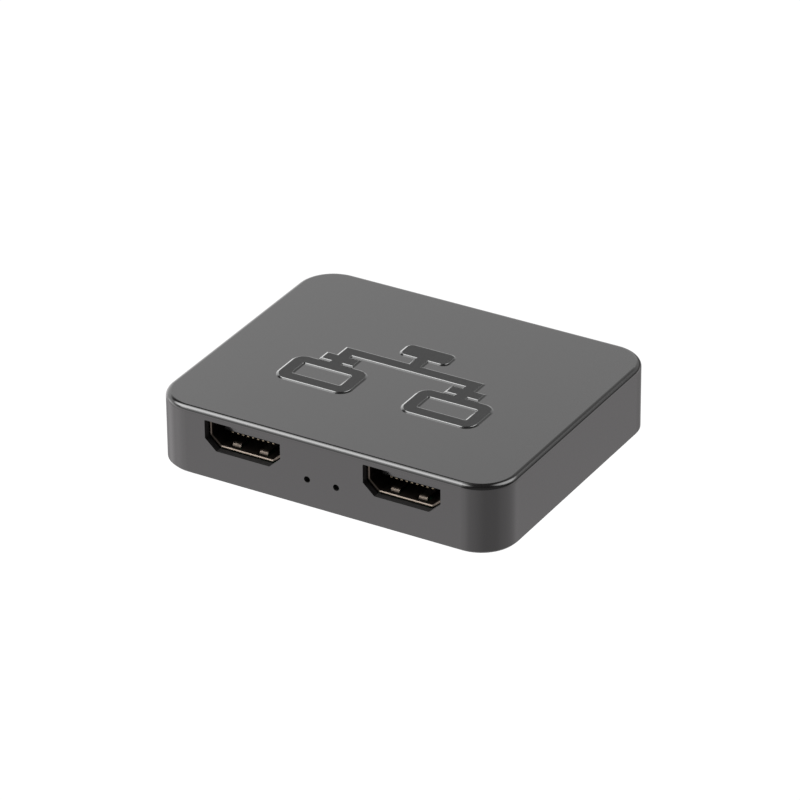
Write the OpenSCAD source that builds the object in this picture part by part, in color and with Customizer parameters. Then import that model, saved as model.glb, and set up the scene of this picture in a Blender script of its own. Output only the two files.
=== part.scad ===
// Video splitter with one input and two outputs: a moulded case, a screwed cover and a populated board.
// The origin is the middle of the underside. X runs along the output face, Y from the outputs to the
// input, and Z up.

/* [Case] */
// Width of the case, along the output face
case_w = 68; // [66:0.5:90]
// Depth of the case, from the output face to the input face
case_d = 56; // [54:0.5:80]
// Height of the case, without the raised mark
case_h = 13; // [12.6:0.1:18]
// Radius of the upright corners
corner_r = 7; // [5:0.1:9]
// Radius of the round along the top edge
edge_r = 1; // [0.4:0.05:1.3]
// Bevel along the foot of the walls
foot_bevel = 0.5; // [0.2:0.05:0.8]
// Thickness of the side walls
wall_t = 1.3; // [1.1:0.1:1.9]
// Thickness of the roof
roof_t = 1.3; // [1.1:0.1:2]

/* [Raised mark] */
// Height of the mark above the roof
mark_h = 0.2; // [0.1:0.05:0.4]
// Width of the mark's lines
mark_line = 2; // [1:0.1:2]
// Width of each drawn screen
screen_w = 14; // [10:0.5:18]
// Height of each drawn screen, front to back
screen_h = 8.4; // [6:0.2:9]
// Distance between the two drawn screens
screen_pitch = 24.8; // [20:0.2:30]
// Place of the drawn screens, front to back
screen_y = -7; // [-9:0.5:-6]
// Width of each drawn stand
stand_w = 6; // [4:0.5:8]
// Place of the forked line, front to back
fork_y = 2.4; // [1:0.1:4]
// Width of the drawn plug
plug_w = 9; // [6:0.5:12]
// Height of the drawn plug, front to back
plug_h = 3.6; // [3:0.1:5]
// Place of the drawn plug, front to back
plug_y = 8; // [7:0.5:12]

/* [Bottom cover] */
// Thickness of the cover
cover_t = 1.5; // [1.2:0.1:2]
// Gap between the cover's edge and the walls
cover_gap = 0.12; // [0.05:0.01:0.3]
// Width of the bare label panel in the underside
panel_w = 40; // [20:1:46]
// Depth of the bare label panel, front to back
panel_d = 26; // [12:1:32]
// Radius of the label panel's corners
panel_r = 1.5; // [0.5:0.1:4]
// How far the label panel is sunk into the underside
panel_sink = 0.2; // [0.1:0.05:0.4]

/* [Fasteners] */
// Diameter over the screw's thread
screw_d = 2; // [1.6:0.1:2.4]
// Length of the screw, head included
screw_len = 8; // [6:0.5:9]
// Length of the screw's pointed tip
screw_tip = 1; // [0.6:0.1:1.5]
// Length of one turn of the thread
thread_pitch = 0.8; // [0.6:0.05:1]
// Depth of the thread
thread_depth = 0.25; // [0.15:0.05:0.3]
// Diameter of the countersunk head
head_d = 3.7; // [3.4:0.1:4]
// Height of the countersunk head
head_h = 1.05; // [0.9:0.05:1.1]
// How far the head is sunk below the underside
head_sink = 0.1; // [0.05:0.05:0.2]
// Length of the cross recess in the head
drive_len = 2; // [1.6:0.1:2.2]
// Width of the cross recess
drive_w = 0.5; // [0.4:0.05:0.6]
// Depth of the cross recess
drive_depth = 0.6; // [0.4:0.05:0.7]
// Clearance round the screw
screw_gap = 0.05; // [0.03:0.01:0.15]
// Diameter of the posts that take the screws
screw_post_d = 4.6; // [4:0.1:5.4]
// Distance from the inside of a corner to its screw
screw_edge = 2.75; // [2.7:0.05:3.2]
// Thickness of the ribs that tie a screw post to the walls
rib_t = 1; // [0.8:0.1:1.4]

/* [Circuit board] */
// Thickness of the board
board_t = 1.2; // [0.8:0.1:1.6]
// Gap between the board's edge and the walls or the screw posts
board_gap = 0.3; // [0.2:0.05:0.5]
// Diameter of the posts above and below the board
board_post_d = 4.2; // [3.6:0.1:4.6]
// Distance from the side walls to the board posts
post_inset = 4.1; // [3:0.1:4.5]
// Distance from the board's middle to its posts, front to back
post_y = 9; // [7:0.5:11]
// Diameter of the pins that locate the board
pin_d = 1.8; // [1.2:0.1:2.2]
// How far a pin stands above the board
pin_rise = 1; // [0.5:0.1:2]
// Clearance round a pin or a soldered leg
hole_gap = 0.15; // [0.1:0.05:0.3]

/* [Video sockets] */
// Distance between the two outputs
output_pitch = 31.2; // [24:0.1:34]
// Place of the input along the rear face
input_x = 9; // [4:0.5:12]
// Width of a socket's mouth
mouth_w = 14; // [13.8:0.05:14.4]
// Height of a socket's mouth
mouth_h = 4.55; // [4.4:0.05:4.8]
// Width of the bevel at the mouth's lower corners
mouth_bevel_w = 1.9; // [1.2:0.1:2.2]
// Height of the bevel at the mouth's lower corners
mouth_bevel_h = 1.75; // [1.2:0.05:2]
// Radius inside the bends of the mouth
mouth_r = 0.35; // [0.2:0.05:0.5]
// Thickness of the sheet metal shell
shell_t = 0.3; // [0.2:0.05:0.4]
// Bevel round the inside of the shell's rim
rim_bevel = 0.15; // [0.05:0.05:0.2]
// Length of the shell, from its mouth to its back
shell_len = 11.4; // [10.5:0.1:12.5]
// Height of the shell's underside above the board
shell_lift = 0.95; // [0.8:0.05:1.2]
// Gap between the shell and the roof
shell_headroom = 0.45; // [0.1:0.05:0.6]
// Gap between the mouth and the inside of the wall
mouth_gap = 0.05; // [0.02:0.01:0.2]
// Gap between the shell's outline and the case's opening
opening_gap = 0.2; // [0.1:0.05:0.4]
// Radius of the opening's corners
opening_r = 0.25; // [0.1:0.05:0.6]
// Distance of the front legs behind the mouth
front_leg_y = 2.3; // [2:0.1:3]
// Distance of the rear legs behind the mouth
rear_leg_y = 8.8; // [8:0.1:9.5]
// Width of a leg
leg_w = 1.4; // [1:0.1:1.8]
// How far a leg reaches below the board
leg_reach = 0.5; // [0.3:0.1:0.9]

/* [Socket springs] */
// Width of a spring finger
finger_w = 1.6; // [1.2:0.1:2]
// Width of the slit round a finger
finger_slit = 0.3; // [0.2:0.05:0.4]
// Distance of a finger's root behind the mouth
finger_root = 7; // [6.5:0.1:7.2]
// Distance of a finger's crest behind the mouth
finger_crest = 1.9; // [1.7:0.1:2.6]
// How far a finger's crest stands into the mouth
finger_rise = 0.55; // [0.3:0.05:0.7]
// Radius of a finger's curled tip, at mid thickness
finger_curl_r = 0.7; // [0.6:0.05:0.8]
// Angle through which the tip curls past the crest
finger_curl = 80; // [40:5:90]
// Distance between the two fingers of the floor, and of the roof
finger_pitch = 5.4; // [5:0.1:6]

/* [Socket insides] */
// Width of the tongue that carries the contacts
tongue_w = 11.2; // [10.8:0.1:11.6]
// Thickness of the tongue
tongue_t = 1.5; // [1.3:0.05:1.7]
// Bevel along the tongue's nose
tongue_bevel = 0.35; // [0.2:0.05:0.5]
// Height of the tongue's underside above the mouth's floor
tongue_rise = 1.85; // [1.5:0.05:2]
// Distance of the tongue's nose behind the mouth
tongue_setback = 2; // [1.2:0.1:2.4]
// Distance of the insulator's solid block behind the mouth
block_setback = 7.6; // [7.4:0.1:8]
// Clearance between the insulator and the shell
block_fit = 0.03; // [0.01:0.01:0.06]
// Contacts on top of the tongue
upper_contacts = 10; // [4:1:10]
// Contacts under the tongue
lower_contacts = 9; // [3:1:9]
// Distance between neighbouring contacts in a row
contact_pitch = 1; // [0.9:0.05:1]
// Width of a contact
contact_w = 0.4; // [0.3:0.05:0.4]
// Thickness of a contact
contact_t = 0.2; // [0.15:0.05:0.25]
// How far a contact stands out of its groove
contact_proud = 0.06; // [0.02:0.01:0.1]
// Distance of a contact's end behind the tongue's nose
contact_nose = 0.15; // [0.1:0.05:0.5]
// Length of a contact's soldered foot behind the shell
contact_foot = 1.1; // [0.8:0.1:1.5]

/* [Power socket] */
// Place of the power socket along the rear face
power_x = -17; // [-20:0.5:-14]
// Width of the mouth
power_w = 6.9; // [6.8:0.05:7.1]
// Height of the mouth
power_h = 1.85; // [1.8:0.05:2]
// Width of the bevel at the mouth's lower corners
power_bevel_w = 0.8; // [0.6:0.1:1]
// Height of the bevel at the mouth's lower corners
power_bevel_h = 0.75; // [0.6:0.05:0.9]
// Radius inside the bends of the mouth
power_r = 0.25; // [0.15:0.05:0.3]
// Thickness of the sheet metal shell
power_t = 0.25; // [0.2:0.05:0.3]
// Length of the shell
power_len = 5; // [4.6:0.1:5.6]
// How far the flared lips reach outwards
lip_flare = 0.45; // [0.3:0.05:0.6]
// Distance of the lips behind the case's face
lip_sink = 0.15; // [0.05:0.05:0.4]
// Distance of the legs behind the mouth
power_leg_y = 2.6; // [2:0.1:3]
// Width of a leg
power_leg_w = 1.1; // [0.8:0.1:1.4]
// Width of the tongue
power_tongue_w = 3.9; // [3.7:0.1:4.1]
// Thickness of the tongue
power_tongue_t = 0.6; // [0.5:0.05:0.7]
// Gap between the tongue and the shell's roof
power_tongue_gap = 0.35; // [0.25:0.05:0.45]
// Distance of the tongue's nose behind the mouth
power_tongue_setback = 0.5; // [0.3:0.1:1]
// Length of the insulator's solid block
power_block = 1.3; // [1:0.1:1.6]
// Contacts under the tongue
power_contacts_n = 5; // [3:1:5]
// Distance between neighbouring contacts
power_contact_pitch = 0.65; // [0.6:0.05:0.7]
// Width of a contact
power_contact_w = 0.3; // [0.2:0.05:0.4]
// Thickness of a contact
power_contact_t = 0.15; // [0.1:0.05:0.2]

/* [Indicator lights] */
// Distance between the two lights
light_pitch = 5.7; // [4:0.1:8]
// Diameter of the holes in front of the lights
light_hole_d = 1.2; // [0.8:0.1:1.5]
// Gap between a light and the wall
light_gap = 0.25; // [0.15:0.05:0.5]
// Width of a light
light_w = 1.6; // [1.2:0.1:2]
// Depth of a light
light_d = 0.8; // [0.6:0.1:1.2]
// Height of a light
light_h = 0.65; // [0.5:0.05:0.8]
// Thickness of a light's lens
lens_t = 0.2; // [0.1:0.05:0.3]
// Frame left round a light's lens
lens_frame = 0.15; // [0.1:0.05:0.2]

/* [Chips] */
// Side of the splitter chip's body
splitter_body = 12; // [10:0.5:13]
// Height of the splitter chip's body
splitter_h = 1.4; // [1:0.1:1.8]
// Leads on each side of the splitter chip
splitter_leads_n = 16; // [8:1:16]
// Distance between the splitter chip's leads
splitter_lead_pitch = 0.65; // [0.5:0.05:0.65]
// Width of the splitter chip's leads
splitter_lead_w = 0.3; // [0.2:0.05:0.35]
// Place of the memory chip
memory_place = [-18, -7]; // [-20:0.5:20]
// Body of the memory chip, width and depth
memory_body = [4.9, 3.9]; // [3.5:0.1:5.5]
// Height of the memory chip's body
memory_h = 1.45; // [1:0.05:1.8]
// Distance between the memory chip's leads
memory_lead_pitch = 1.27; // [1:0.01:1.27]
// Width of the memory chip's leads
memory_lead_w = 0.41; // [0.3:0.01:0.5]
// Place of the voltage regulator
regulator_place = [-16, 11]; // [-18:0.5:18]
// Body of the regulator, width and depth
regulator_body = [6.5, 3.5]; // [3:0.1:7]
// Height of the regulator's body
regulator_h = 1.6; // [1.2:0.1:1.8]
// Distance between the regulator's leads
regulator_lead_pitch = 2.3; // [2:0.1:2.5]
// Width of the regulator's leads
regulator_lead_w = 0.75; // [0.6:0.05:0.9]
// Width of the regulator's cooling tab
regulator_tab_w = 3; // [2.5:0.1:3.5]
// Gap between a chip's body and the board
chip_standoff = 0.1; // [0.05:0.05:0.2]
// Bevel along a chip's upper edges
chip_bevel = 0.25; // [0.1:0.05:0.4]
// Diameter of the dimple beside a chip's first lead
dimple_d = 0.8; // [0.5:0.1:1]
// Depth of the dimple
dimple_sink = 0.1; // [0.05:0.05:0.2]
// Distance of the dimple from a chip's sides
dimple_edge = 1; // [0.8:0.1:1.4]
// Thickness of a lead
lead_t = 0.15; // [0.1:0.05:0.2]
// How far a lead reaches out of its chip
lead_reach = 1; // [0.8:0.1:1.2]
// Length of a lead's flat foot
lead_foot = 0.5; // [0.4:0.05:0.6]

/* [Other board parts] */
// Place of the clock crystal
crystal_place = [14, 8]; // [-20:0.5:20]
// Body of the crystal, width and depth
crystal_body = [3.2, 2.5]; // [2:0.1:4]
// Height of the crystal's ceramic base
crystal_base_h = 0.45; // [0.3:0.05:0.6]
// Height of the crystal's metal lid
crystal_lid_h = 0.35; // [0.2:0.05:0.5]
// Ledge of the base round the lid
crystal_ledge = 0.15; // [0.1:0.05:0.3]
// Place of the power choke
choke_place = [-25, 0]; // [-25:0.5:25]
// Side of the choke
choke_body = 4; // [3:0.1:5]
// Height of the choke's core
choke_h = 1.8; // [1.2:0.1:2.5]
// Radius of the choke's corners
choke_r = 0.4; // [0.2:0.1:0.8]
// Width of each terminal under the choke
choke_terminal_w = 1.4; // [1:0.1:1.4]
// Thickness of each terminal
choke_terminal_t = 0.1; // [0.05:0.05:0.2]
// Place of the fuse
fuse_place = [-24, 17]; // [-24:0.5:24]
// Fuse: length, depth and height
fuse_size = [3.2, 1.6, 0.8]; // [0.5:0.1:3.5]
// Bulk capacitors: length, depth and height
bulk_size = [3.2, 1.6, 1.4]; // [0.8:0.1:3.5]
// Small capacitors: length, depth and height
small_size = [1.6, 0.8, 0.8]; // [0.5:0.1:2]
// Small capacitors in each row
small_n = 6; // [2:1:6]
// Resistors: length, depth and height
resistor_size = [1.6, 0.8, 0.45]; // [0.35:0.05:2]
// Resistors in each row
resistor_n = 6; // [2:1:6]
// Distance between neighbours in a row
row_pitch = 2; // [1.8:0.1:2.2]
// Length of each tinned end of a capacitor or resistor
end_len = 0.35; // [0.2:0.05:0.5]

/* [Hidden] */
$fn = 64;
over = 1;          // how far a cut runs past the face that it opens
bite = 0.2;        // how deep a rib or a finger's root runs into what carries it
thin = 0.01;       // thickness of an outline that a hull runs to
bend_steps = 6;    // straight steps round each bend of a socket's outline

// Inside of the case
inner_w = case_w - 2 * wall_t;
inner_d = case_d - 2 * wall_t;
inner_r = corner_r - wall_t;
ceiling = case_h - roof_t;

// Sockets, which hang just under the roof and so set the height of the board
shell_w = mouth_w + 2 * shell_t;
shell_h = mouth_h + 2 * shell_t;
mouth_floor = shell_lift + shell_t;
mouth_setback = wall_t + mouth_gap;
base_w = mouth_w - 2 * mouth_bevel_w - 2 * shell_t;
power_shell_w = power_w + 2 * power_t;
power_shell_h = power_h + 2 * power_t;
power_setback = lip_sink + lip_flare + power_t / sqrt(2);
power_tongue_z = power_shell_h - power_t - power_tongue_gap - power_tongue_t;

// Board
board_top = ceiling - shell_headroom - shell_h - shell_lift;
board_bottom = board_top - board_t;
board_w = inner_w - 2 * board_gap;
board_d = inner_d - 2 * board_gap;

// Screws and posts, at the four corners and beside the board's middle
screw_inset = inner_r - (inner_r - screw_edge) / sqrt(2);
screw_places = [for (x = [-1, 1], y = [-1, 1])
    [x * (inner_w / 2 - screw_inset), y * (inner_d / 2 - screw_inset)]];
post_places = [for (x = [-1, 1], y = [-1, 1]) [x * (inner_w / 2 - post_inset), y * post_y]];
board_notch = screw_inset + screw_post_d / 2 + board_gap;

// Small parts: rows beside the splitter chip, and single places
splitter_reach = splitter_body / 2 + lead_reach;
row_gap = 3;
small_row_y = splitter_reach + row_gap;
resistor_row_x = splitter_reach + row_gap;
bulk_places = [[-23, 6], [-23, 12], [-8, 15]];

// Outlines and basic forms

function unit(v) = v / norm(v);
function before(points, i) = points[(i + len(points) - 1) % len(points)];
function after(points, i) = points[(i + 1) % len(points)];
function to_before(points, i) = unit(before(points, i) - points[i]);
function to_after(points, i) = unit(after(points, i) - points[i]);
function half_angle(points, i) = acos(to_before(points, i) * to_after(points, i)) / 2;
function inward(points, i) = unit(to_before(points, i) + to_after(points, i)) / sin(half_angle(points, i));

// The convex outline whose sides lie this much further out
function grown(points, by) = [for (i = [0:len(points) - 1]) points[i] - by * inward(points, i)];

// A convex outline, drawn anticlockwise, with each corner bent round in short straight steps
module bent(points, r)
    polygon([for (i = [0:len(points) - 1]) let (
        middle = points[i] + r * inward(points, i),
        start = points[i] + r / tan(half_angle(points, i)) * to_before(points, i) - middle,
        turn = 180 - 2 * half_angle(points, i)
    ) for (step = [0:bend_steps]) let (angle = atan2(start[1], start[0]) + turn * step / bend_steps)
        middle + r * [cos(angle), sin(angle)]]);

module rounded_box(w, d, r) {
    square([w - 2 * r, d], center = true);
    square([w, d - 2 * r], center = true);
    for (x = [-1, 1], y = [-1, 1])
        translate([x * (w / 2 - r), y * (d / 2 - r)]) circle(r);
}

// The place of one of a number of things in a row about its middle
function in_row(i, count, pitch) = (i - (count - 1) / 2) * pitch;

// The outline of a socket's mouth, standing on its floor, with bevelled lower corners
function mouth_points(w, h, bevel_w, bevel_h) = [
    [-w / 2, h], [-w / 2, bevel_h], [bevel_w - w / 2, 0],
    [w / 2 - bevel_w, 0], [w / 2, bevel_h], [w / 2, h]
];
function video_mouth() = mouth_points(mouth_w, mouth_h, mouth_bevel_w, mouth_bevel_h);
function power_mouth() = mouth_points(power_w, power_h, power_bevel_w, power_bevel_h);

// An upright outline carried along Y from the start to the end
module along_y(start, end)
    translate([0, end, 0]) rotate([90, 0, 0]) linear_extrude(end - start) children();

// A side view, drawn in Y and Z, carried across X by this width about the middle
module across_x(w)
    rotate([90, 0, 90]) linear_extrude(w, center = true) children();

// The upright section of a slab: rounded above, bevelled below
module slab_section(span, h, round_r, bevel)
    difference() {
        translate([-span / 2, 0]) square([span, h]);
        for (side = [-1, 1]) {
            translate([side * span / 2, h]) difference() {
                square(2 * round_r, center = true);
                translate([-side * round_r, -round_r]) circle(round_r);
            }
            translate([side * span / 2, 0]) rotate(45) square(bevel * sqrt(2), center = true);
        }
    }

// A slab with upright round corners, a rounded top edge and a bevelled foot
module slab(w, d, h, r, round_r, bevel) {
    rotate([90, 0, 90]) linear_extrude(w - 2 * r, center = true) slab_section(d, h, round_r, bevel);
    rotate([90, 0, 0]) linear_extrude(d - 2 * r, center = true) slab_section(w, h, round_r, bevel);
    for (x = [-1, 1], y = [-1, 1])
        translate([x * (w / 2 - r), y * (d / 2 - r), 0])
            rotate_extrude() intersection() {
                slab_section(2 * r, h, round_r, bevel);
                square([r, h]);
            }
}

module plate(w, d, r, from, to)
    translate([0, 0, from]) linear_extrude(to - from) rounded_box(w, d, r);

module post(d, from, to)
    translate([0, 0, from]) cylinder(d = d, h = to - from);

// Places of the sockets: each is drawn with its mouth at Y 0, its insides behind it and the board at Z 0

module at_output(side)
    translate([side * output_pitch / 2, mouth_setback - case_d / 2, board_top]) children();

module at_input()
    translate([input_x, case_d / 2 - mouth_setback, board_top]) rotate(180) children();

module at_power()
    translate([power_x, case_d / 2 - power_setback, board_top]) rotate(180) children();

module at_video_sockets() {
    for (side = [-1, 1]) at_output(side) children();
    at_input() children();
}

// The lights stand side by side behind the front wall
module at_lights()
    for (side = [-1, 1])
        translate([side * light_pitch / 2, light_gap - inner_d / 2, board_top]) children();

// Case

// Two screens side by side, joined to one plug by a forked line
module raised_mark()
    translate([0, 0, ceiling]) linear_extrude(roof_t + mark_h) {
        for (side = [-1, 1])
            translate([side * screen_pitch / 2, screen_y]) {
                difference() {
                    rounded_box(screen_w, screen_h, mark_line);
                    rounded_box(screen_w - 2 * mark_line, screen_h - 2 * mark_line, mark_line / 4);
                }
                translate([0, screen_h / 2 + mark_line]) square([stand_w, mark_line], center = true);
                translate([-mark_line / 2, screen_h / 2 - mark_line / 2])
                    square([mark_line, fork_y - screen_y - screen_h / 2 + mark_line]);
            }
        translate([0, fork_y]) square([screen_pitch + mark_line, mark_line], center = true);
        translate([-mark_line / 2, fork_y]) square([mark_line, plug_y - fork_y]);
        translate([0, plug_y]) rounded_box(plug_w, plug_h, mark_line / 2);
    }

// A screw post in its corner, tied to both walls by ribs
module screw_post(place) {
    top = ceiling + bite;
    reach = screw_inset + bite;
    translate(place) {
        post(screw_post_d, cover_t, top);
        translate([sign(place[0]) * reach / 2, 0, (cover_t + top) / 2])
            cube([reach, rib_t, top - cover_t], center = true);
        translate([0, sign(place[1]) * reach / 2, (cover_t + top) / 2])
            cube([rib_t, reach, top - cover_t], center = true);
    }
}

module video_opening()
    along_y(-mouth_setback - over, over)
        translate([0, mouth_floor])
            bent(grown(video_mouth(), shell_t + opening_gap), opening_r);

module power_opening()
    along_y(-power_setback - over, wall_t - power_setback + over)
        translate([0, power_t])
            bent(grown(power_mouth(), power_t + lip_flare + opening_gap), opening_r);

module light_hole()
    translate([0, -light_gap, light_h / 2])
        rotate([90, 0, 0]) cylinder(d = light_hole_d, h = 2 * (wall_t + over), center = true);

module top_case()
    color("dimgray")
    difference() {
        union() {
            difference() {
                slab(case_w, case_d, case_h, corner_r, edge_r, foot_bevel);
                plate(inner_w, inner_d, inner_r, -over, ceiling);
            }
            for (place = screw_places) screw_post(place);
            for (place = post_places)
                translate(place) post(board_post_d, board_top, ceiling + bite);
            raised_mark();
        }
        for (place = screw_places)
            translate(place) post(screw_d + 2 * screw_gap, cover_t - over, head_sink + screw_len + over);
        for (place = post_places)
            translate(place) post(pin_d + 2 * hole_gap, board_top - over, board_top + pin_rise + hole_gap);
        at_video_sockets() video_opening();
        at_power() power_opening();
        at_lights() light_hole();
    }

// The hole for a screw and the cone that its head sits in
module countersink() {
    mouth_d = head_d + 2 * screw_gap;
    hole_d = screw_d + 2 * screw_gap;
    post(hole_d, -over, cover_t + over);
    post(mouth_d, -over, head_sink);
    translate([0, 0, head_sink]) cylinder(d1 = mouth_d, d2 = hole_d, h = head_h);
}

module bottom_cover()
    color("dimgray")
    difference() {
        union() {
            plate(inner_w - 2 * cover_gap, inner_d - 2 * cover_gap, inner_r - cover_gap, 0, cover_t);
            for (place = post_places) translate(place) {
                post(board_post_d, cover_t - bite, board_bottom);
                post(pin_d, cover_t, board_top + pin_rise);
            }
        }
        plate(panel_w, panel_d, panel_r, -over, panel_sink);
        for (place = screw_places) translate(place) countersink();
    }

// Half of a screw's section, with a ridge for every turn of its thread
function screw_section() = let (
    r = screw_d / 2,
    core = r - thread_depth,
    top = screw_len - screw_tip,
    turns = floor((top - head_h) / thread_pitch)
) [
    [0, 0], [head_d / 2, 0],
    for (i = [0:turns - 1]) each [
        [core, head_h + i * thread_pitch],
        [r, head_h + (i + 0.5) * thread_pitch],
        [core, head_h + (i + 0.9) * thread_pitch]
    ],
    [core, top], [0, screw_len]
];

module case_screws()
    color("silver")
    for (place = screw_places)
        translate([place[0], place[1], head_sink]) difference() {
            rotate_extrude() polygon(screw_section());
            for (turn = [0, 90])
                rotate(turn) cube([drive_len, drive_w, 2 * drive_depth], center = true);
        }

// Board

module leg_slots(shell_width, t, places, w)
    for (side = [-1, 1], y = places)
        translate([side * (shell_width - t) / 2, y, 0])
            cube([t + 2 * hole_gap, w + 2 * hole_gap, 2 * (board_t + over)], center = true);

module main_board()
    color("darkgreen")
    difference() {
        translate([-board_w / 2, -board_d / 2, board_bottom]) cube([board_w, board_d, board_t]);
        for (x = [-1, 1], y = [-1, 1])
            translate([x * inner_w / 2, y * inner_d / 2, board_bottom])
                cube([2 * board_notch, 2 * board_notch, 2 * (board_t + over)], center = true);
        for (place = post_places)
            translate(place) post(pin_d + 2 * hole_gap, board_bottom - over, board_top + over);
        at_video_sockets() leg_slots(shell_w, shell_t, [front_leg_y, rear_leg_y], leg_w);
        at_power() leg_slots(power_shell_w, power_t, [power_leg_y], power_leg_w);
    }

// Video sockets

// A spring finger in side view, in a floor at Z 0: its root behind, a crest, and a tip curled down in front
function finger_points() = let (
    steps = 12,
    centre = [finger_crest, finger_rise - shell_t / 2 - finger_curl_r],
    to_centre = centre - [finger_root, -shell_t / 2],
    slope = asin(finger_curl_r / norm(to_centre)) + atan2(to_centre[1], -to_centre[0]),
    turns = [for (i = [0:steps]) -slope + i * (finger_curl + slope) / steps],
    upper = finger_curl_r + shell_t / 2,
    lower = finger_curl_r - shell_t / 2
) [
    [finger_root + bite, -shell_t], [finger_root + bite, 0], [finger_root, 0],
    for (a = turns) centre + upper * [-sin(a), cos(a)],
    for (i = [0:steps]) let (a = turns[steps - i]) centre + lower * [-sin(a), cos(a)],
    [finger_root, -shell_t]
];

module finger()
    across_x(finger_w) polygon(finger_points());

module finger_window() {
    front = finger_crest - finger_curl_r - shell_t / 2 - finger_slit;
    translate([-finger_w / 2 - finger_slit, front, -shell_t - over])
        cube([finger_w + 2 * finger_slit, finger_root - front, shell_t + 2 * over]);
}

// Turns what is drawn for the shell's floor to its floor and its roof
module at_fingers()
    translate([0, 0, mouth_floor])
        for (side = [-1, 1]) {
            translate([side * finger_pitch / 2, 0, 0]) children();
            translate([side * finger_pitch / 2, 0, mouth_h]) rotate([0, 180, 0]) children();
        }

// A pair of legs in line with a shell's sides, from this height down through the board
module legs(shell_width, t, w, top)
    for (side = [-1, 1])
        translate([side * (shell_width - t) / 2, 0, (top - board_t - leg_reach) / 2])
            cube([t, w, top + board_t + leg_reach], center = true);

// The mouth's outline this much further out, carried along Y
module wider_mouth(by, start, end)
    along_y(start, end) translate([0, mouth_floor]) bent(grown(video_mouth(), by), mouth_r + by);

// The cut that bevels the rim, which runs past the bevel at both ends
module rim_cut() {
    past = rim_bevel / 2;
    hull() {
        wider_mouth(rim_bevel + past, -past - over, -past);
        wider_mouth(-past, rim_bevel + past - thin, rim_bevel + past);
    }
}

module video_shell()
    color("silver") {
        difference() {
            along_y(0, shell_len) translate([0, mouth_floor]) difference() {
                bent(grown(video_mouth(), shell_t), mouth_r + shell_t);
                bent(video_mouth(), mouth_r);
            }
            rim_cut();
            at_fingers() finger_window();
            translate([-base_w / 2, block_setback, shell_lift - over])
                cube([base_w, shell_len - block_setback + over, shell_t + 2 * over]);
        }
        at_fingers() finger();
        along_y(shell_len - shell_t, shell_len) translate([0, mouth_floor]) intersection() {
            bent(grown(video_mouth(), shell_t / 2), mouth_r);
            translate([-mouth_w, tongue_rise]) square([2 * mouth_w, mouth_h]);
        }
        for (y = [front_leg_y, rear_leg_y])
            translate([0, y, 0]) legs(shell_w, shell_t, leg_w, mouth_floor + mouth_bevel_h + bite);
    }

// One contact in side view: along the tongue at this height, down to the board and out at the back
function contact_points(t, height, front, drop, back) = [
    [front, height], [front, height + t], [drop, height + t], [drop, t],
    [back, t], [back, 0], [drop - t, 0], [drop - t, height]
];

module contact_row(count, height, drop) {
    front = tongue_setback + contact_nose;
    back = shell_len + contact_foot;
    for (i = [0:count - 1])
        translate([in_row(i, count, contact_pitch), 0, 0])
            across_x(contact_w) polygon(contact_points(contact_t, height, front, drop, back));
}

module video_contacts()
    color("gold") {
        low = mouth_floor + tongue_rise - contact_proud;
        high = mouth_floor + tongue_rise + tongue_t + contact_proud - contact_t;
        contact_row(upper_contacts, high, shell_len - 2 * shell_t - contact_t);
        contact_row(lower_contacts, low, block_setback + 2 * contact_t);
    }

module video_insulator()
    color([0.08, 0.08, 0.08])
    difference() {
        back = shell_len - shell_t;
        low = mouth_floor + tongue_rise;
        high = low + tongue_t;
        nose = tongue_setback;
        union() {
            across_x(tongue_w) polygon([
                [back, low], [back, high], [nose + tongue_bevel, high],
                [nose, high - tongue_bevel], [nose, low + tongue_bevel], [nose + tongue_bevel, low]
            ]);
            along_y(block_setback, back) translate([0, mouth_floor])
                bent(grown(video_mouth(), -block_fit), mouth_r);
            translate([block_fit - base_w / 2, block_setback + block_fit, 0])
                cube([base_w - 2 * block_fit, back - block_setback - block_fit, low]);
        }
        video_contacts();
    }

module output_1_shell() at_output(-1) video_shell();
module output_1_insulator() at_output(-1) video_insulator();
module output_1_contacts() at_output(-1) video_contacts();
module output_2_shell() at_output(1) video_shell();
module output_2_insulator() at_output(1) video_insulator();
module output_2_contacts() at_output(1) video_contacts();
module input_shell() at_input() video_shell();
module input_insulator() at_input() video_insulator();
module input_contacts() at_input() video_contacts();

// Power socket

// A flared lip in side view, on a wall whose outside is at Z 0
function lip_points() = let (slant = power_t / sqrt(2)) [
    [bite, 0], [0, 0], [-lip_flare, lip_flare], [-lip_flare - slant, lip_flare - slant],
    [-slant, -power_t], [bite, -power_t]
];

module lip(w)
    across_x(w) polygon(lip_points());

module power_shell()
    color("silver") at_power() {
        floor_w = power_w - 2 * power_bevel_w;
        side_h = power_h - power_bevel_h - 2 * power_r;
        along_y(0, power_len) translate([0, power_t]) difference() {
            bent(grown(power_mouth(), power_t), power_r + power_t);
            bent(power_mouth(), power_r);
        }
        translate([0, 0, power_shell_h]) lip(floor_w);
        rotate([0, 180, 0]) lip(floor_w);
        for (side = [-1, 1])
            translate([side * power_shell_w / 2, 0, power_t + (power_bevel_h + power_h) / 2])
                rotate([0, side * 90, 0]) lip(side_h);
        translate([0, power_leg_y, 0])
            legs(power_shell_w, power_t, power_leg_w, power_t + power_bevel_h + bite);
    }

module power_contacts()
    color("gold") at_power()
        for (i = [0:power_contacts_n - 1])
            translate([in_row(i, power_contacts_n, power_contact_pitch), 0, 0]) across_x(power_contact_w)
                polygon(contact_points(
                    power_contact_t, power_tongue_z - contact_proud,
                    power_tongue_setback + contact_nose, power_len, power_len + contact_foot
                ));

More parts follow.
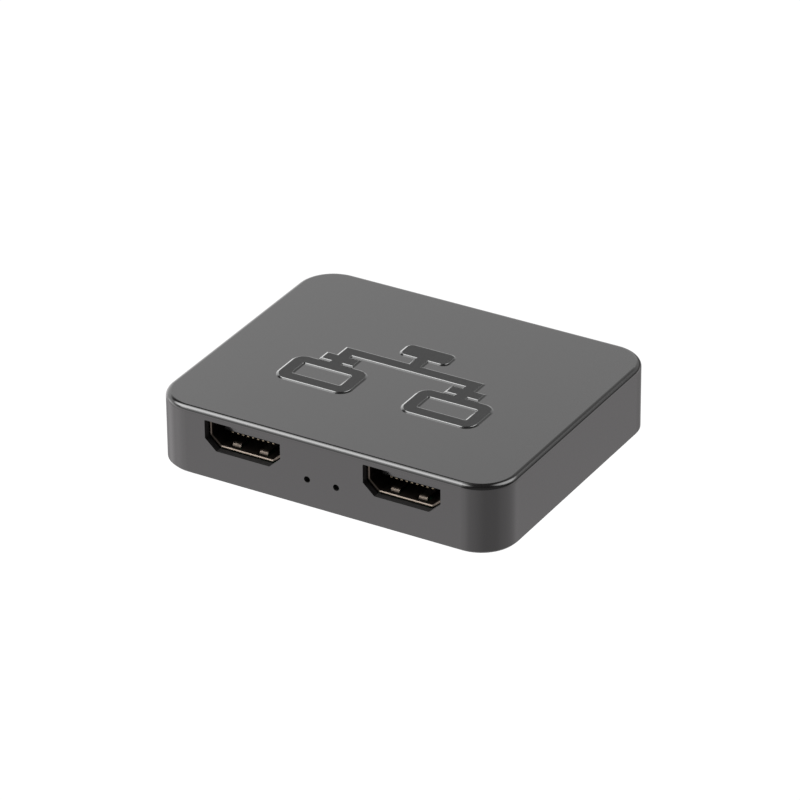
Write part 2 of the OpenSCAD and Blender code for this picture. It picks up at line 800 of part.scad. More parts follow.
module power_insulator()
    color([0.08, 0.08, 0.08])
    difference() {
        at_power() {
            translate([-power_tongue_w / 2, power_tongue_setback, power_tongue_z])
                cube([power_tongue_w, power_len - power_tongue_setback, power_tongue_t]);
            along_y(power_len - power_block, power_len) translate([0, power_t])
                bent(grown(power_mouth(), -block_fit), power_r);
        }
        power_contacts();
    }

// Indicator lights

module light_lens()
    translate([lens_frame - light_w / 2, 0, lens_frame])
        cube([light_w - 2 * lens_frame, lens_t, light_h - 2 * lens_frame]);

module light_bodies()
    color("ivory")
    at_lights() difference() {
        translate([-light_w / 2, 0, 0]) cube([light_w, light_d, light_h]);
        light_lens();
    }

module light_lenses()
    color("lightcyan") at_lights() light_lens();

// Parts on the board's top face

module on_board(place, turn = 0)
    translate([place[0], place[1], board_top]) rotate(turn) children();

// A chip's body seen from one side, bevelled above
module chip_section(span, h)
    polygon([
        [-span / 2, 0], [span / 2, 0], [span / 2, h - chip_bevel], [span / 2 - chip_bevel, h],
        [chip_bevel - span / 2, h], [-span / 2, h - chip_bevel]
    ]);

// A moulded chip body with a dimple beside its first lead
module chip_body(w, d, h)
    translate([0, 0, chip_standoff]) difference() {
        intersection() {
            across_x(w) chip_section(d, h);
            rotate(90) across_x(d) chip_section(w, h);
        }
        translate([dimple_edge - w / 2, dimple_edge - d / 2, h - dimple_sink])
            cylinder(d = dimple_d, h = over);
    }

// A lead in side view: out of the body at this height, down, and a flat foot on the board
function lead_points(start, height) = let (
    heel = start + lead_reach - lead_foot,
    toe = start + lead_reach
) [
    [start, height], [start, height + lead_t], [heel, height + lead_t], [heel, lead_t],
    [toe, lead_t], [toe, 0], [heel - lead_t, 0], [heel - lead_t, height]
];

module lead_row(count, pitch, w, start, height)
    for (i = [0:count - 1])
        translate([in_row(i, count, pitch), 0, 0]) across_x(w) polygon(lead_points(start, height));

module splitter_chip()
    color([0.1, 0.1, 0.1]) on_board([0, 0]) chip_body(splitter_body, splitter_body, splitter_h);

module splitter_chip_leads()
    color("silver") on_board([0, 0])
        for (turn = [0:90:270]) rotate(turn) lead_row(
            splitter_leads_n, splitter_lead_pitch, splitter_lead_w, splitter_body / 2, splitter_h / 2
        );

module memory_chip()
    color([0.1, 0.1, 0.1]) on_board(memory_place) chip_body(memory_body[0], memory_body[1], memory_h);

module memory_chip_leads()
    color("silver") on_board(memory_place)
        for (turn = [0, 180]) rotate(turn)
            lead_row(4, memory_lead_pitch, memory_lead_w, memory_body[1] / 2, memory_h / 2);

module regulator()
    color([0.1, 0.1, 0.1]) on_board(regulator_place)
        chip_body(regulator_body[0], regulator_body[1], regulator_h);

module regulator_leads()
    color("silver") on_board(regulator_place) {
        lead_row(3, regulator_lead_pitch, regulator_lead_w, regulator_body[1] / 2, regulator_h / 2);
        rotate(180) lead_row(1, 0, regulator_tab_w, regulator_body[1] / 2, regulator_h / 2);
    }

module clock_crystal()
    color("beige") on_board(crystal_place)
        linear_extrude(crystal_base_h) square(crystal_body, center = true);

module clock_crystal_lid()
    color("silver") on_board(crystal_place)
        translate([0, 0, crystal_base_h]) linear_extrude(crystal_lid_h)
            rounded_box(
                crystal_body[0] - 2 * crystal_ledge, crystal_body[1] - 2 * crystal_ledge, crystal_ledge
            );

module choke_core()
    color([0.2, 0.2, 0.2]) on_board(choke_place)
        plate(choke_body, choke_body, choke_r, choke_terminal_t, choke_terminal_t + choke_h);

module choke_terminals()
    color("silver") on_board(choke_place)
        for (side = [-1, 1])
            translate([side * (choke_body - choke_terminal_w) / 2, 0, choke_terminal_t / 2])
                cube([choke_terminal_w, choke_body - 2 * choke_r, choke_terminal_t], center = true);

module fuse()
    color("olive") on_board(fuse_place) translate([0, 0, fuse_size[2] / 2]) cube(fuse_size, center = true);

// Two-ended parts: a ceramic middle between two tinned ends

small_places = [for (side = [-1, 1], i = [0:small_n - 1])
    [in_row(i, small_n, row_pitch), side * small_row_y]];
resistor_places = [for (side = [-1, 1], i = [0:resistor_n - 1])
    [side * resistor_row_x, in_row(i, resistor_n, row_pitch)]];

module middles(places, size, turn)
    for (place = places) on_board(place, turn)
        translate([0, 0, size[2] / 2]) cube([size[0] - 2 * end_len, size[1], size[2]], center = true);

module ends(places, size, turn)
    for (place = places, side = [-1, 1]) on_board(place, turn)
        translate([side * (size[0] - end_len) / 2, 0, size[2] / 2])
            cube([end_len, size[1], size[2]], center = true);

module bulk_capacitors()
    color("tan") middles(bulk_places, bulk_size, 0);

module small_capacitors()
    color("tan") middles(small_places, small_size, 90);

module resistors()
    color([0.12, 0.12, 0.12]) middles(resistor_places, resistor_size, 0);

module tinned_ends()
    color("silver") {
        ends(bulk_places, bulk_size, 0);
        ends(small_places, small_size, 90);
        ends(resistor_places, resistor_size, 0);
    }

top_case();
bottom_cover();
case_screws();
main_board();
output_1_shell();
output_1_insulator();
output_1_contacts();
output_2_shell();
output_2_insulator();
output_2_contacts();
input_shell();
input_insulator();
input_contacts();
power_shell();
power_insulator();
power_contacts();
light_bodies();
light_lenses();
splitter_chip();
splitter_chip_leads();
memory_chip();
memory_chip_leads();
regulator();
regulator_leads();
clock_crystal();
clock_crystal_lid();
choke_core();
choke_terminals();
fuse();
bulk_capacitors();
small_capacitors();
resistors();
tinned_ends();
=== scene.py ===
import math
import bmesh
import bpy
from mathutils import Matrix, Vector


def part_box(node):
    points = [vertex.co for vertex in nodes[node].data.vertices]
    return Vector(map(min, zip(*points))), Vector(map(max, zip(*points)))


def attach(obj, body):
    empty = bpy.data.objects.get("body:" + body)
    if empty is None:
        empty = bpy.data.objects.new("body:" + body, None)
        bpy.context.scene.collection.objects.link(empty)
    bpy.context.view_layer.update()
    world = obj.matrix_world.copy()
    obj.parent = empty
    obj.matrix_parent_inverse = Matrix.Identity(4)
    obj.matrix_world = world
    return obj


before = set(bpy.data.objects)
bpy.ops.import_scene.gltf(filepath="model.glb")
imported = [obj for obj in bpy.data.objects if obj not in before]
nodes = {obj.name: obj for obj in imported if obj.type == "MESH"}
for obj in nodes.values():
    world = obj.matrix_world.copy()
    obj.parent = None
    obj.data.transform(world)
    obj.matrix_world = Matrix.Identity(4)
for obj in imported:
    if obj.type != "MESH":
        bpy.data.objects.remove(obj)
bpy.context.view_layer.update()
mm = 0.001  # the frame is in metres, and sizes here are in millimetres
print("frame loaded,", len(nodes), "nodes")


class Wire:  # one node socket, so that shader maths reads as plain sums
    def __init__(self, tree, socket=None):
        self.tree = tree
        self.socket = socket

    def add(self, kind, settings={}, inputs={}, out=0):
        node = self.tree.nodes.new(kind)
        for name, value in settings.items():
            setattr(node, name, value)
        for name, value in inputs.items():
            if isinstance(value, Wire):
                self.tree.links.new(value.socket, node.inputs[name])
            else:
                node.inputs[name].default_value = value
        return Wire(self.tree, node.outputs[out] if node.outputs else None)

    def maths(self, operation, *values):
        return self.add("ShaderNodeMath", {"operation": operation}, dict(enumerate(values)))

    def __add__(self, other):
        return self.maths("ADD", self, other)

    def __radd__(self, other):
        return self.maths("ADD", other, self)

    def __sub__(self, other):
        return self.maths("SUBTRACT", self, other)

    def __rsub__(self, other):
        return self.maths("SUBTRACT", other, self)

    def __mul__(self, other):
        return self.maths("MULTIPLY", self, other)

    def __rmul__(self, other):
        return self.maths("MULTIPLY", other, self)

    def __truediv__(self, other):
        return self.maths("DIVIDE", self, other)

    def rise(self, start, end, low=0.0, high=1.0):  # eased step between two places
        ease = {"interpolation_type": "SMOOTHSTEP"}
        return self.add("ShaderNodeMapRange", ease, {0: self, 1: start, 2: end, 3: low, 4: high})

    def blend(self, first, second):  # this value picks between two colours
        return self.add("ShaderNodeMix", {"data_type": "RGBA"}, {0: self, 6: first, 7: second}, out=2)

    def parts(self):
        node = self.add("ShaderNodeSeparateXYZ", inputs={0: self}).socket.node
        return [Wire(self.tree, socket) for socket in node.outputs]

    def scaled(self, factors):
        return self.add("ShaderNodeVectorMath", {"operation": "MULTIPLY"}, {0: self, 1: factors})

    def dot(self, direction):
        return self.add("ShaderNodeVectorMath", {"operation": "DOT_PRODUCT"}, {0: self, 1: direction}, out=1)

    def noise(self, perMm, detail=2.0, rough=0.5):  # how many features there are to a millimetre
        return self.add("ShaderNodeTexNoise", inputs={
            "Vector": self, "Scale": perMm, "Detail": detail, "Roughness": rough})

    def bump(self, depth, strength=1.0):  # this value as a height, in millimetres
        return self.add("ShaderNodeBump", inputs={
            "Height": self, "Distance": depth * mm, "Strength": strength})


def tone(red, green=None, blue=None):
    green = red if green is None else green
    blue = green if blue is None else blue
    return (red, green, blue, 1.0)


# Camera, at the place that the outline and the inner edges of the case give
view = {
    "azimuth": 30.4477,  # degrees from the front, towards the right
    "elevation": 28.9067,
    "roll": -0.5403,
    "distance": 877.467,
    "slideRight": -0.9066,
    "slideUp": 7.0658,
    "lens": 228.14,
    "sensor": 36.0,
}


def fromAngles(azimuth, elevation):
    turn = math.radians(azimuth)
    lift = math.radians(elevation)
    return Vector((math.sin(turn) * math.cos(lift), -math.cos(turn) * math.cos(lift), math.sin(lift)))


def makeCamera():
    back = fromAngles(view["azimuth"], view["elevation"])
    level = fromAngles(view["azimuth"] + 90, 0)
    upright = back.cross(level)
    roll = math.radians(view["roll"])
    side = level * math.cos(roll) + upright * math.sin(roll)
    up = upright * math.cos(roll) - level * math.sin(roll)
    data = bpy.data.cameras.new("photoCamera")
    data.lens = view["lens"]
    data.sensor_width = view["sensor"]
    data.clip_start = 10 * mm
    camera = bpy.data.objects.new("photoCamera", data)
    pose = Matrix((side, up, back)).transposed().to_4x4()
    pose.translation = (side * view["slideRight"] + up * view["slideUp"] + back * view["distance"]) * mm
    camera.matrix_world = pose
    bpy.context.scene.collection.objects.link(camera)
    bpy.context.scene.camera = camera


makeCamera()
print("camera set")

# Studio: a white table and a pale backdrop in a dim room, with two soft lights
studio = {
    "room": 0.05,  # light from the bare room
    "white": 1.05,  # the table and the room as the camera sees them
    "tableHalf": 1500.0,
    "tableDrop": 0.03,  # below the case, so that the faces don't meet
    "floor": {"behind": 0.35, "around": 0.80, "middle": 25.0, "near": 115.0, "far": 160.0},  # as mirrored
    "horizon": 4.0,  # degrees over which the table gives way to the room
    "floorTint": tone(1.0, 0.972, 0.985),
    "floorLit": [(-40.0, 0.80, 0.60), (-40.0, 0.10, 0.60)],  # under the key light: azimuth, edge, light
    "walls": [  # azimuth, half width, its soft edge, lowest, highest, their soft edge, light
        (160.0, 42.0, 10.0, 12.0, 42.0, 10.0, 0.95),  # behind, to the right
        (-112.0, 42.0, 20.0, -4.0, 34.0, 4.0, 1.92),  # behind, to the left
        (-58.0, 36.0, 8.0, -6.0, 17.0, 6.0, 1.70),  # a low band at the left
        (-36.0, 12.0, 8.0, 22.0, 42.0, 8.0, 3.0),  # under the key light
        (-118.0, 16.0, 10.0, 54.0, 63.0, 5.0, 3.4),  # behind the key light
        (-132.0, 22.0, 10.0, -24.0, -6.0, 6.0, 1.25),  # the table behind the left corner
        (140.0, 30.0, 8.0, -16.0, 1.0, 3.0, 0.55),  # a low band at the right
        (112.0, 32.0, 10.0, -60.0, -18.0, 6.0, 0.16),  # the table's edge at the right
        (45.0, 50.0, 20.0, 4.0, 40.0, 8.0, 0.24),  # a faint glow from the viewer's side
    ],
    "key": {"azimuth": -65.0, "elevation": 54.5, "radius": 17.5, "soft": 12.0, "light": 12.5},
    "keyTop": (69.0, 8.0),  # where the key light ends, and its soft edge
    "fill": {"azimuth": 128.0, "elevation": 51.0, "radius": 18.0, "soft": 11.0, "light": 7.0},
}


def cosine(degrees):
    return math.cos(math.radians(degrees))


def sine(degrees):
    return math.sin(math.radians(degrees))


def softDisc(ray, azimuth, elevation, radius, soft, light):
    near = ray.dot(fromAngles(azimuth, elevation))
    return near.rise(cosine(radius + soft), cosine(radius - soft)) * light


def softTop(height, high, soft):
    return height.rise(sine(high + soft), sine(high - soft))


def softWall(flat, height, azimuth, half, softSide, low, high, soft, light):
    across = flat.dot(fromAngles(azimuth, 0)).rise(cosine(half + softSide), cosine(half - softSide))
    above = height.rise(sine(low - soft), sine(low + soft))
    return across * above * softTop(height, high, soft) * light


def belowHorizon(height):
    return height.rise(sine(studio["horizon"]), sine(-studio["horizon"]))


def mirroredFloor(flat, height, behind, around, middle, near, far):  # dim behind the case
    front = flat.dot(fromAngles(middle, 0)).rise(cosine(far), cosine(near))
    return belowHorizon(height) * (front * around + behind)


def litFloor(flat, height, azimuth, edge, light):
    return belowHorizon(height) * flat.dot(fromAngles(azimuth, 0)).rise(edge, 1.0) * light


def makeRoom():
    world = bpy.data.worlds.new("studioRoom")
    world.use_nodes = True
    world.node_tree.nodes.clear()
    wire = Wire(world.node_tree)
    ray = wire.add("ShaderNodeTexCoord")
    flat = wire.add("ShaderNodeVectorMath", {"operation": "NORMALIZE"}, {0: ray.scaled((1, 1, 0))})
    height = ray.parts()[2]
    light = mirroredFloor(flat, height, **studio["floor"]) + studio["room"]
    for patch in studio["floorLit"]:
        light = litFloor(flat, height, *patch) + light
    for wall in studio["walls"]:
        light = softWall(flat, height, *wall) + light
    light = softDisc(ray, **studio["key"]) * softTop(height, *studio["keyTop"]) + light
    light = softDisc(ray, **studio["fill"]) + light
    seen = wire.add("ShaderNodeLightPath")  # to the camera the room is plain white
    tint = belowHorizon(height).blend(tone(1.0), studio["floorTint"])
    room = wire.add("ShaderNodeBackground", inputs={"Color": tint, "Strength": light})
    plain = wire.add("ShaderNodeBackground", inputs={"Color": tone(1.0), "Strength": studio["white"]})
    both = wire.add("ShaderNodeMixShader", inputs={0: seen, 1: room, 2: plain})
    wire.add("ShaderNodeOutputWorld", inputs={"Surface": both})
    bpy.context.scene.world = world


def makeTable():
    half = studio["tableHalf"] * mm
    drop = -studio["tableDrop"] * mm
    corners = [(-half, -half, drop), (half, -half, drop), (half, half, drop), (-half, half, drop)]
    mesh = bpy.data.meshes.new("table")
    mesh.from_pydata(corners, [], [(0, 1, 2, 3)])
    table = bpy.data.objects.new("table", mesh)
    table.visible_glossy = False  # the room's own lower half stands for it in the gloss
    bpy.context.scene.collection.objects.link(table)
    material = bpy.data.materials.new("whiteTable")
    material.use_nodes = True
    material.node_tree.nodes.clear()
    wire = Wire(material.node_tree)
    glow = wire.add("ShaderNodeEmission", inputs={"Color": tone(1.0), "Strength": studio["white"]})
    under = wire.add("ShaderNodeNewGeometry", out=6)  # seen from below, the table is clear
    clear = wire.add("ShaderNodeBsdfTransparent")
    both = wire.add("ShaderNodeMixShader", inputs={0: under, 1: glow, 2: clear})
    wire.add("ShaderNodeOutputMaterial", inputs={"Surface": both})
    mesh.materials.append(material)


makeRoom()
makeTable()
bpy.context.scene.view_settings.view_transform = "Standard"
print("studio lit")


def makeFinish(name, build):
    material = bpy.data.materials.new(name)
    material.use_nodes = True
    material.node_tree.nodes.clear()
    wire = Wire(material.node_tree)
    spot = wire.add("ShaderNodeTexCoord", out=3).scaled((1 / mm, 1 / mm, 1 / mm))  # in millimetres
    surface = wire.add("ShaderNodeBsdfPrincipled", inputs=build(wire, spot))
    wire.add("ShaderNodeOutputMaterial", inputs={"Surface": surface})
    return material


# Gloss black case, matt in the walls of its openings
gloss = {
    "colour": tone(0.0052, 0.0049, 0.0049),
    "paler": tone(0.0068, 0.0064, 0.0064),
    "rough": 0.10,
    "haze": 0.05,  # how much the polish varies
    "mattRough": 0.55,
    "wallDepth": 2.0,  # the openings' walls reach no further in than this
    "sideClear": 8.5,  # nor nearer than this to the corners
    "topClear": 1.4,  # nor to the roof
    "markHeight": 0.2,
}
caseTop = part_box("top_case")[1] / mm
roof = caseTop.z - gloss["markHeight"]


def glossCase(wire, spot):
    across, along, height = spot.parts()
    aside = across.maths("ABSOLUTE", across)
    depth = caseTop.y - along.maths("ABSOLUTE", along)  # how far behind the nearest face
    cut = depth.rise(0.02, 0.10) * depth.rise(gloss["wallDepth"], gloss["wallDepth"] - 0.4)
    cut = cut * aside.rise(caseTop.x - gloss["sideClear"] + 1.0, caseTop.x - gloss["sideClear"])
    cut = cut * height.rise(roof - gloss["topClear"] + 0.2, roof - gloss["topClear"])
    flow = spot.noise(0.08, 3.0)
    rough = flow * gloss["haze"] + gloss["rough"] + cut * (gloss["mattRough"] - gloss["rough"])
    ripple = spot.noise(0.5, 1.0) + cut * spot.noise(9.0, 2.0)
    return {"Base Color": flow.blend(gloss["colour"], gloss["paler"]), "Roughness": rough,
            "IOR": 1.5, "Normal": ripple.bump(0.002, 0.5)}


# Raised mark: a cap over the drawing, matt on top, with a polished slope that takes the light
mark = {
    "sink": 0.01,
    "slope": [(0.36, 0.14), (0.07, 0.05), (0.06, 0.03)],  # steps inwards, to the outline, and upwards
    "colour": tone(0.006),
    "paler": tone(0.010),
    "rough": 0.42,
    "edgeRough": 0.12,
    "gloss": 0.22,
    "coatRough": 0.1,
    "mattFrom": 0.025,  # how far below the top the matt begins, and where it is whole
    "mattWhole": 0.005,
}
markTop = roof + sum(upward for inward, upward in mark["slope"]) - mark["sink"]


def mattMark(wire, spot):
    top = spot.parts()[2].rise(markTop - mark["mattFrom"], markTop - mark["mattWhole"])
    grain = spot.noise(11.0, 3.0, 0.6)
    rough = mark["edgeRough"] + top * (grain * 0.2 + mark["rough"] - mark["edgeRough"])
    return {"Base Color": grain.blend(mark["colour"], mark["paler"]), "Roughness": rough,
            "Specular IOR Level": mark["gloss"], "Coat Weight": 1.0 - top,
            "Coat Roughness": mark["coatRough"], "Normal": (grain * top).bump(0.01, 0.5)}


# Cover: spark-eroded grain, with a smoother panel where a label would go
cover = {"colour": tone(0.012), "paler": tone(0.021), "rough": 0.46, "panelRough": 0.26, "panelSink": 0.2}


def satinCover(wire, spot):
    height = spot.parts()[2]
    panel = height.rise(0.10, 0.18) * height.rise(cover["panelSink"] + 0.2, cover["panelSink"] + 0.1)
    grain = spot.noise(5.0, 4.0, 0.65)
    rough = grain * 0.16 + cover["rough"] + panel * (cover["panelRough"] - cover["rough"])
    relief = grain * (1.0 - panel * 0.85)
    return {"Base Color": grain.blend(cover["colour"], cover["paler"]), "Roughness": rough,
            "Normal": relief.bump(0.035, 0.8)}


def platedSteel(wire, spot):  # passivated screws, faintly yellow in places
    grain = spot.noise(6.0, 3.0)
    stain = spot.noise(1.4, 2.0).rise(0.45, 0.65)
    colour = stain.blend(tone(0.52, 0.52, 0.53), tone(0.55, 0.52, 0.46))
    return {"Base Color": colour, "Metallic": 1.0, "Roughness": grain * 0.18 + 0.22,
            "Normal": grain.bump(0.006, 0.5)}


# Board: dark lacquer over copper lines, plain copper and vias, with painted shade in the vias' bores
board = {
    "lacquer": tone(0.003, 0.022, 0.010),
    "overCopper": tone(0.006, 0.042, 0.018),
    "viaRing": tone(0.030, 0.085, 0.040),
    "lineEvery": 0.9,
    "field": 7.3,  # side of a field of lines that run one way
    "stepEvery": 5.0,  # half the way between a line's slanted steps
    "stepFrom": 1.8,  # where a slanted step starts and ends on that way
    "stepTo": 3.2,
    "viasPerMm": 0.42,
    "viaRim": 0.14,  # of the way between vias
    "viaBore": 0.06,
    # near black for the vias' bores: painted shade standing in for the dark inside of an open hole
    "hole": tone(0.002),
}


def copperLines(place, along):  # straight lines that step aside at a slant
    swing = along.maths("PINGPONG", along, board["stepEvery"])
    aside = along.maths("MINIMUM", along.maths("MAXIMUM", swing, board["stepFrom"]), board["stepTo"])
    step = (place + aside) / board["lineEvery"]
    return step.maths("PINGPONG", step, 0.5).rise(0.24, 0.30)


def solderMask(wire, spot):
    across, along, height = spot.parts()
    cell = spot.scaled((1 / board["field"], 1 / board["field"], 0.0))
    cell = wire.add("ShaderNodeVectorMath", {"operation": "FLOOR"}, {0: cell})
    pick = wire.add("ShaderNodeTexWhiteNoise", {"noise_dimensions": "2D"}, {"Vector": cell})
    turned = pick.rise(0.39, 0.41)
    plain = pick.rise(0.77, 0.79)
    lines = turned * copperLines(along, across) + (1.0 - turned) * copperLines(across, along)
    copper = lines.maths("MAXIMUM", lines, plain)
    flat = spot.scaled((1.0, 1.0, 0.0))
    via = wire.add("ShaderNodeTexVoronoi", {"voronoi_dimensions": "2D"}, {
        "Vector": flat, "Scale": board["viasPerMm"]})
    # where a via's bore is: painted near black as its shade, and sunk a little by the bump
    hole = via.rise(board["viaBore"] + 0.01, board["viaBore"] - 0.01)
    ring = via.rise(board["viaRim"] + 0.01, board["viaRim"] - 0.01) * (1.0 - hole)
    colour = copper.blend(board["lacquer"], board["overCopper"])
    colour = ring.blend(colour, board["viaRing"])
    # the bores get painted shade, near black
    colour = hole.blend(colour, board["hole"])
    grain = spot.noise(7.0, 2.0)
    return {"Base Color": colour, "Roughness": grain * 0.12 + 0.24,
            "Normal": (copper.maths("MAXIMUM", copper, ring) - hole).bump(0.03, 0.6)}


def flashedShell(wire, spot):  # rolled sheet, with its grain from mouth to back
    grain = spot.scaled((6.0, 0.6, 6.0)).noise(1.0, 2.0)
    spots = spot.noise(1.6, 3.0)
    colour = spots.blend(tone(0.080, 0.066, 0.055), tone(0.120, 0.101, 0.085))
    return {"Base Color": colour, "Metallic": 1.0, "Roughness": grain * 0.14 + 0.34,
            "Normal": grain.bump(0.004, 0.5)}


def blackResin(wire, spot):
    grain = spot.noise(5.0, 2.0)
    flow = spot.noise(0.6, 2.0)
    return {"Base Color": flow.blend(tone(0.006), tone(0.010)), "Roughness": grain * 0.06 + 0.10,
            "Normal": grain.bump(0.002, 0.4)}


def goldFlash(wire, spot):
    grain = spot.scaled((9.0, 0.8, 9.0)).noise(1.0, 2.0)
    return {"Base Color": grain.blend(tone(0.150, 0.128, 0.092), tone(0.215, 0.182, 0.130)),
            "Metallic": 1.0, "Roughness": grain * 0.15 + 0.30}


def whiteResin(wire, spot):
    grain = spot.noise(6.0, 2.0)
    return {"Base Color": grain.blend(tone(0.66, 0.66, 0.62), tone(0.78, 0.78, 0.75)),
            "Roughness": grain * 0.1 + 0.42, "Normal": grain.bump(0.004, 0.4)}


def milkyLens(wire, spot):
    grain = spot.noise(6.0, 2.0)
    return {"Base Color": grain.blend(tone(0.60, 0.65, 0.60), tone(0.75, 0.78, 0.74)),
            "Roughness": grain * 0.08 + 0.14}


def chipResin(wire, spot):  # filled epoxy with fine pale specks
    grain = spot.noise(12.0, 3.0)
    specks = spot.noise(30.0, 1.0).rise(0.62, 0.70)
    colour = specks.blend(tone(0.013), tone(0.030))
    return {"Base Color": colour, "Roughness": grain * 0.2 + 0.45, "Normal": grain.bump(0.012, 0.5)}


def brightTin(wire, spot):  # frozen solder, a little cloudy
    grain = spot.noise(8.0, 3.0)
    cloud = spot.noise(2.0, 2.0)
    return {"Base Color": cloud.blend(tone(0.58, 0.58, 0.56), tone(0.78, 0.78, 0.76)),
            "Metallic": 1.0, "Roughness": grain * 0.2 + 0.22, "Normal": grain.bump(0.006, 0.5)}


def beigeCeramic(wire, spot):
    grain = spot.noise(10.0, 3.0)
    return {"Base Color": grain.blend(tone(0.34, 0.23, 0.13), tone(0.45, 0.31, 0.18)),
            "Roughness": grain * 0.15 + 0.42, "Normal": grain.bump(0.008, 0.5)}


def greyFerrite(wire, spot):
    grain = spot.noise(10.0, 4.0)
    return {"Base Color": grain.blend(tone(0.030), tone(0.060)), "Roughness": grain * 0.2 + 0.5,
            "Normal": grain.bump(0.025, 0.6)}


def greenEnamel(wire, spot):
    grain = spot.noise(6.0, 2.0)
    return {"Base Color": grain.blend(tone(0.020, 0.080, 0.035), tone(0.032, 0.115, 0.052)),
            "Roughness": grain * 0.1 + 0.28, "Normal": grain.bump(0.006, 0.4)}


finishes = {
    "case_plastic": glossCase,
    "cover_plastic": satinCover,
    "screw_steel": platedSteel,
    "board_green": solderMask,
    "socket_metal": flashedShell,
    "socket_plastic": blackResin,
    "contact_gold": goldFlash,
    "light_white": whiteResin,
    "light_lens": milkyLens,
    "chip_black": chipResin,
    "tin": brightTin,
    "ceramic_beige": beigeCeramic,
    "ferrite_grey": greyFerrite,
    "fuse_green": greenEnamel,
}


made = {slot: makeFinish(build.__name__, build) for slot, build in finishes.items()}
for node in nodes.values():
    slot = node.data.materials[0].name
    node.material_slots[0].material = made[slot]
print("nodes dressed")


def addPiece(name, mesh, material):
    mesh.materials.clear()
    mesh.materials.append(material)
    piece = bpy.data.objects.new(name, mesh)
    bpy.context.scene.collection.objects.link(piece)
    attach(piece, "root")
    return piece


def mergedCopy(node):  # a node's mesh is loose triangles, so a copy is merged to work on
    shape = bmesh.new()
    shape.from_mesh(nodes[node].data)
    bmesh.ops.remove_doubles(shape, verts=shape.verts, dist=0.002 * mm)
    return shape


def outwardStep(corner):  # a unit out from the outline, measured square to both of its edges
    sides = []
    for edge in corner.link_edges:
        if edge.is_boundary:
            loop = edge.link_loops[0]
            along = (loop.link_loop_next.vert.co - loop.vert.co).normalized()
            sides.append(Vector((along.y, -along.x, 0)))
    return (sides[0] + sides[1]) / (1 + sides[0].dot(sides[1]))


def makeMarkCap():
    drawing = mergedCopy("top_case")
    top = max(corner.co.z for corner in drawing.verts)
    below = [face for face in drawing.faces if min(v.co.z for v in face.verts) < top - 0.01 * mm]
    bmesh.ops.delete(drawing, geom=below, context="FACES")
    steps = {corner: outwardStep(corner) for corner in drawing.verts}
    cap = bmesh.new()

    def addRing(out, height):
        return {corner: cap.verts.new((*(corner.co + step * out * mm).xy, height * mm))
                for corner, step in steps.items()}

    out = sum(inward for inward, upward in mark["slope"])
    height = roof - mark["sink"]
    rings = [addRing(0, height), addRing(out, height)]
    for inward, upward in mark["slope"]:
        out -= inward
        height += upward
        rings.append(addRing(out, height))
    for face in drawing.faces:
        cap.faces.new([rings[-1][corner] for corner in face.verts])
        cap.faces.new([rings[0][corner] for corner in reversed(face.verts)])
    for edge in drawing.edges:
        if edge.is_boundary:
            first, last = edge.verts
            for lower, upper in zip(rings, rings[1:]):
                cap.faces.new((lower[first], lower[last], upper[last], upper[first]))
    drawing.free()
    bmesh.ops.recalc_face_normals(cap, faces=cap.faces[:])
    mesh = bpy.data.meshes.new("roofMark")
    cap.to_mesh(mesh)
    cap.free()
    return addPiece("roofMark", mesh, makeFinish("mattMark", mattMark))


makeMarkCap()
print("mark capped")

# Solder at every foot on the board, and under the board at the shells' legs
solder = {
    "feet": ["output_1_contacts", "output_2_contacts", "input_contacts", "power_contacts",
             "splitter_chip_leads", "memory_chip_leads", "regulator_leads", "choke_terminals", "tinned_ends"],
    "legs": ["output_1_shell", "output_2_shell", "input_shell", "power_shell"],
    "spread": 0.11,  # how far it runs out past a foot
    "climb": 0.17,
    "waist": 0.62,  # its width where it ends, as a share of its width on the board
    "sides": 14,
    "sink": 0.01,
}


def flatEnds(node, height):  # middle and size of each face group that lies at this height
    shape = mergedCopy(node)
    away = [face for face in shape.faces if max(abs(v.co.z - height) for v in face.verts) > 0.01 * mm]
    bmesh.ops.delete(shape, geom=away, context="FACES")
    left = set(shape.verts)
    ends = []
    while left:
        group = [left.pop()]
        for corner in group:  # the group grows while it is walked
            linked = {edge.other_vert(corner) for edge in corner.link_edges} & left
            left -= linked
            group.extend(linked)
        across = [corner.co.x for corner in group]
        along = [corner.co.y for corner in group]
        middle = ((min(across) + max(across)) / 2, (min(along) + max(along)) / 2)
        ends.append((middle, (max(across) - min(across), max(along) - min(along))))
    shape.free()
    return sorted(ends)


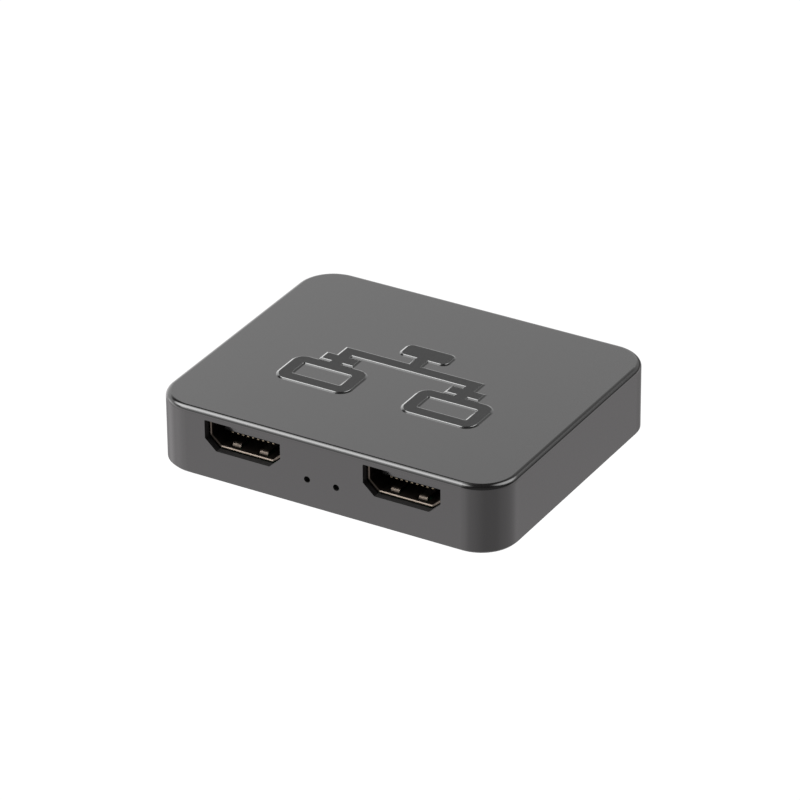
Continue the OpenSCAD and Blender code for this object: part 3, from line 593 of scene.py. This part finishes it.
def makeSolderTree():
    tree = bpy.data.node_groups.new("solderTree", "GeometryNodeTree")
    kinds = {"Feet": "Geometry", "Spread": "Float", "Climb": "Float", "Waist": "Float", "Sides": "Int",
             "Solder": "Material"}
    for name, kind in kinds.items():
        tree.interface.new_socket(name, in_out="INPUT", socket_type="NodeSocket" + kind)
    tree.interface.new_socket("Joints", in_out="OUTPUT", socket_type="NodeSocketGeometry")
    wire = Wire(tree)
    given = wire.add("NodeGroupInput").socket.node.outputs
    feet, spread, climb, waist, sides, tin = [Wire(tree, socket) for socket in given[:6]]
    drum = wire.add("GeometryNodeMeshCylinder", inputs={
        "Vertices": sides, "Side Segments": 4, "Radius": 1.0, "Depth": 1.0})
    across, along, up = wire.add("GeometryNodeInputPosition").parts()
    fall = 0.5 - up
    width = waist + fall * fall * (1.0 - waist)  # hollow sides
    place = wire.add("ShaderNodeCombineXYZ", inputs={0: across * width, 1: along * width, 2: up + 0.5})
    cone = wire.add("GeometryNodeSetPosition", inputs={"Geometry": drum, "Position": place})
    cone = wire.add("GeometryNodeSetShadeSmooth", inputs={"Geometry": cone})
    foot = wire.add("GeometryNodeInputNamedAttribute", {"data_type": "FLOAT_VECTOR"}, {"Name": "footSize"})
    wide, deep, facing = foot.parts()
    scale = wire.add("ShaderNodeCombineXYZ", inputs={
        0: wide * 0.5 + spread, 1: deep * 0.5 + spread, 2: facing * climb})
    joints = wire.add("GeometryNodeInstanceOnPoints", inputs={
        "Points": feet, "Instance": cone, "Scale": scale})
    whole = wire.add("GeometryNodeRealizeInstances", inputs={0: joints})
    dressed = wire.add("GeometryNodeSetMaterial", inputs={"Geometry": whole, "Material": tin})
    wire.add("NodeGroupOutput", inputs={0: dressed})
    return tree


def makeSolder():
    boardLow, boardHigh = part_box("main_board")
    sink = solder["sink"] * mm
    feet = [(end, boardHigh.z - sink, 1) for node in solder["feet"] for end in flatEnds(node, boardHigh.z)]
    feet += [(end, boardLow.z + sink, -1) for node in solder["legs"]
             for end in flatEnds(node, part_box(node)[0].z)]
    points = bpy.data.meshes.new("solderFeet")
    points.from_pydata([(*middle, height) for (middle, size), height, facing in feet], [], [])
    sizes = points.attributes.new("footSize", "FLOAT_VECTOR", "POINT")
    for entry, ((middle, size), height, facing) in zip(sizes.data, feet):
        entry.vector = (*size, facing)
    carrier = bpy.data.objects.new("solderFeet", points)
    bpy.context.scene.collection.objects.link(carrier)
    modifier = carrier.modifiers.new("solder", "NODES")
    modifier.node_group = makeSolderTree()
    values = {"Spread": solder["spread"] * mm, "Climb": solder["climb"] * mm, "Waist": solder["waist"],
              "Sides": solder["sides"], "Solder": made["tin"]}
    for item in modifier.node_group.interface.items_tree:
        if item.name in values:
            modifier[item.identifier] = values[item.name]
    evaluated = carrier.evaluated_get(bpy.context.evaluated_depsgraph_get())
    mesh = bpy.data.meshes.new_from_object(evaluated)
    bpy.data.objects.remove(carrier)
    shape = bmesh.new()
    shape.from_mesh(mesh)
    bmesh.ops.recalc_face_normals(shape, faces=shape.faces[:])
    shape.to_mesh(mesh)
    shape.free()
    mesh.name = "solderJoints"
    print("solder at", len(feet), "feet,", len(mesh.polygons), "faces")
    return addPiece("solderJoints", mesh, made["tin"])


makeSolder()
